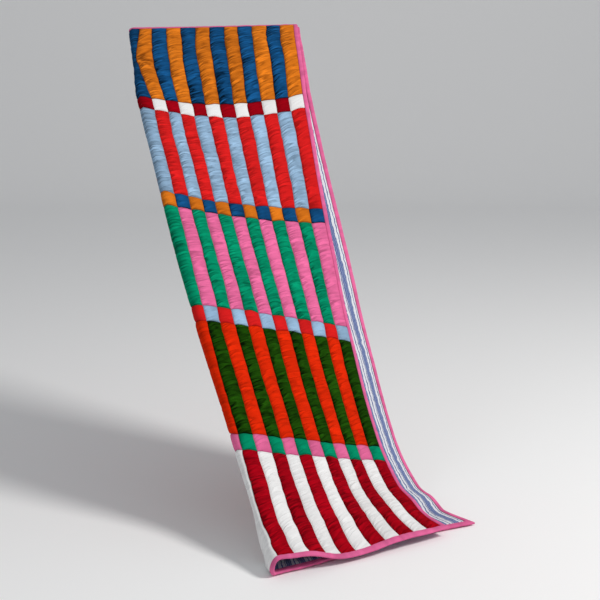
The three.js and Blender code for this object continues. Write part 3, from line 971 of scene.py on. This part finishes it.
# THE BINDING
# One long strip of pink velvet, folded over the raw edges all round, mitred at the corners and
# sewn down along both of its inner folds. The seam draws it into small puckers.
BINDING_SECTION = (  # out past the outermost seam, and height over the sewn-down face
    (0.0004, -0.0006), (-0.0006, 0.0002), (-0.0002, 0.0012), (0.0016, 0.0022), (0.0050, 0.0027),
    (0.0090, 0.0025), (0.0125, 0.0014), (0.0146, -0.0006), (0.0154, -0.0030), (0.0146, -0.0054),
    (0.0125, -0.0070), (0.0090, -0.0078), (0.0050, -0.0080), (0.0016, -0.0076),
    (-0.0002, -0.0069), (-0.0006, -0.0062), (0.0004, -0.0054), (0.0126, -0.0054),
    (0.0126, -0.0006),
)
BINDING_STEP = 0.006
MIDDLE = -SEAM_THICKNESS / 2  # the height of the middle of the stitched cloth
GATHERS, GATHERS_PITCH = 0.16, 0.011  # small puckers on the patchwork's side
GATHERS_FROM = 0.0025  # over the middle
EDGE_WAVE, EDGE_WAVE_PITCH = 0.0006, 0.03  # past its seam the strip isn't quite straight
EDGE_FROM = 0.002
SHORT_EDGE = round(WIDTH / BINDING_STEP)
LONG_EDGE = round(LENGTH / BINDING_STEP)
across_places = np.linspace(0, WIDTH, SHORT_EDGE + 1)
along_places = np.linspace(0, LENGTH, LONG_EDGE + 1)


def edge_run(a, v, out_a, out_v):
    """One side of the throw: its places, and the way out from them."""
    a, v = np.broadcast_arrays(a, v)
    return np.stack([a, v, np.full(a.shape, out_a), np.full(a.shape, out_v)], -1)


def corner(a, v, out_a, out_v):
    """One corner, whose way out is the mitre."""
    return np.array([(a, v, out_a, out_v)])


edge = np.vstack([
    corner(0, 0, -1, -1), edge_run(across_places[1:-1], 0.0, 0, -1),
    corner(WIDTH, 0, 1, -1), edge_run(WIDTH, along_places[1:-1], 1, 0),
    corner(WIDTH, LENGTH, 1, 1), edge_run(across_places[-2:0:-1], LENGTH, 0, 1),
    corner(0, LENGTH, -1, 1), edge_run(0.0, along_places[-2:0:-1], -1, 0),
])


def run_along(points):
    """How far each point of a line is from its start, along the line."""
    steps = np.linalg.norm(np.diff(points, axis=0), axis=1)
    return np.concatenate([[0], np.cumsum(steps)])


round_the_edge = run_along(edge[:, :2])
section_out, section_height = np.array(BINDING_SECTION).T
gathered = wander(round_the_edge, GATHERS_PITCH, seed=12)[:, None]
edge_wave = EDGE_WAVE * wander(round_the_edge, EDGE_WAVE_PITCH, seed=13)[:, None]
binding_out = section_out + edge_wave * (section_out > EDGE_FROM)
lift = section_height - MIDDLE
lift = np.where(lift > GATHERS_FROM, lift * (1 + GATHERS * gathered), lift)
binding_height = MIDDLE + lift
binding_a = edge[:, 0:1] + edge[:, 2:3] * binding_out
binding_v = edge[:, 1:2] + edge[:, 3:4] * binding_out
binding_points = place(binding_a, binding_v, binding_height)
count, sides = binding_a.shape
here = np.arange(count)[:, None] * sides + np.arange(sides)
after = np.roll(here, -1, axis=0)
binding_quads = np.stack([here, np.roll(here, -1, 1), np.roll(after, -1, 1), after], -1)
binding = mesh_piece(
    "velvet_binding", binding_points.reshape(-1, 3), binding_quads.reshape(-1, 4).tolist()
)

across_strip, along_strip = np.meshgrid(run_along(np.array(BINDING_SECTION)), round_the_edge)
strip_places = np.stack([across_strip.ravel(), along_strip.ravel()], -1)
map_points(binding, "cloth", strip_places / CLOTH_MAP)

# Painted shade on the binding: it is painted lighter where its gathers rise and darker where they
# sink.
BINDING_NAP, PAINTED_SHADE_ON_GATHERS = 0.62, 0.25
set_on_points(
    binding, "pile_and_painted_shade", np.repeat(BINDING_NAP + PAINTED_SHADE_ON_GATHERS * gathered, sides, axis=1)
)
BINDING_PINK = ((0.80, 0.15, 0.35), 0.62, 1.10)
binding.data.materials.append(velvet("pink_velvet_strip", *BINDING_PINK, creased=False))
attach(binding, "root")
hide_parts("binding")

# THE FLOOR AND THE LIGHTS
# A plain pale floor that sweeps up behind the throw, and soft studio lights: the main one high on
# the right, a broad fill from the front left.
FLOOR_HALF_WIDTH = 13.0
FLOOR_NEAR = -9.0
SWEEP_START = 7.5
SWEEP_RADIUS = 2.0
SWEEP_TOP = 5.5
SWEEP_STEPS = 16
FLOOR_DROP = 0.0005  # it lies a hair under the throw
profile = [(FLOOR_NEAR, 0.0), (SWEEP_START, 0.0)]
for k in range(1, SWEEP_STEPS + 1):
    turned = math.pi / 2 * k / SWEEP_STEPS
    profile.append((
        SWEEP_START + SWEEP_RADIUS * math.sin(turned), SWEEP_RADIUS * (1 - math.cos(turned))
    ))
profile.append((SWEEP_START + SWEEP_RADIUS, SWEEP_TOP))
floor_points = np.array([
    (side * FLOOR_HALF_WIDTH, y, z - FLOOR_DROP) for y, z in profile for side in (-1, 1)
])
floor_faces = [(2 * k, 2 * k + 1, 2 * k + 3, 2 * k + 2) for k in range(len(profile) - 1)]
floor = mesh_piece("floor", floor_points, floor_faces)
floor_material, _, floor_shader = new_material("pale_floor")
floor_shader.inputs["Base Color"].default_value = (0.92, 0.92, 0.92, 1)
floor_shader.inputs["Roughness"].default_value = 0.9
floor_shader.inputs["Specular IOR Level"].default_value = 0.1
floor.data.materials.append(floor_material)


def soft_light(name, place_at, aim_at, size, power, colour):
    """A round soft light, aimed at a point."""
    data = bpy.data.lights.new(name, "AREA")
    data.shape = "DISK"
    data.size = size
    data.energy = power
    data.color = colour
    light = bpy.data.objects.new(name, data)
    light.location = place_at
    toward = np.array(aim_at) - np.array(place_at)
    light.rotation_euler = (
        math.atan2(math.hypot(toward[0], toward[1]), -toward[2]), 0,
        math.atan2(toward[1], toward[0]) - math.pi / 2,
    )
    bpy.context.collection.objects.link(light)


soft_light(
    "main_light", place_at=(4.3, -1.9, 4.8), aim_at=(0.2, -0.3, 0.5), size=1.6, power=270,
    colour=(1.0, 0.985, 0.96),
)
soft_light(
    "fill_light", place_at=(-2.8, -4.2, 2.0), aim_at=(0, 0, 0.6), size=2.4, power=22,
    colour=(0.96, 0.98, 1.0),
)

world = bpy.data.worlds.new("studio")
world.use_nodes = True
world.node_tree.nodes["Background"].inputs["Color"].default_value = (0.95, 0.97, 1.0, 1)
world.node_tree.nodes["Background"].inputs["Strength"].default_value = 0.40
bpy.context.scene.world = world
bpy.context.scene.view_settings.view_transform = "Standard"
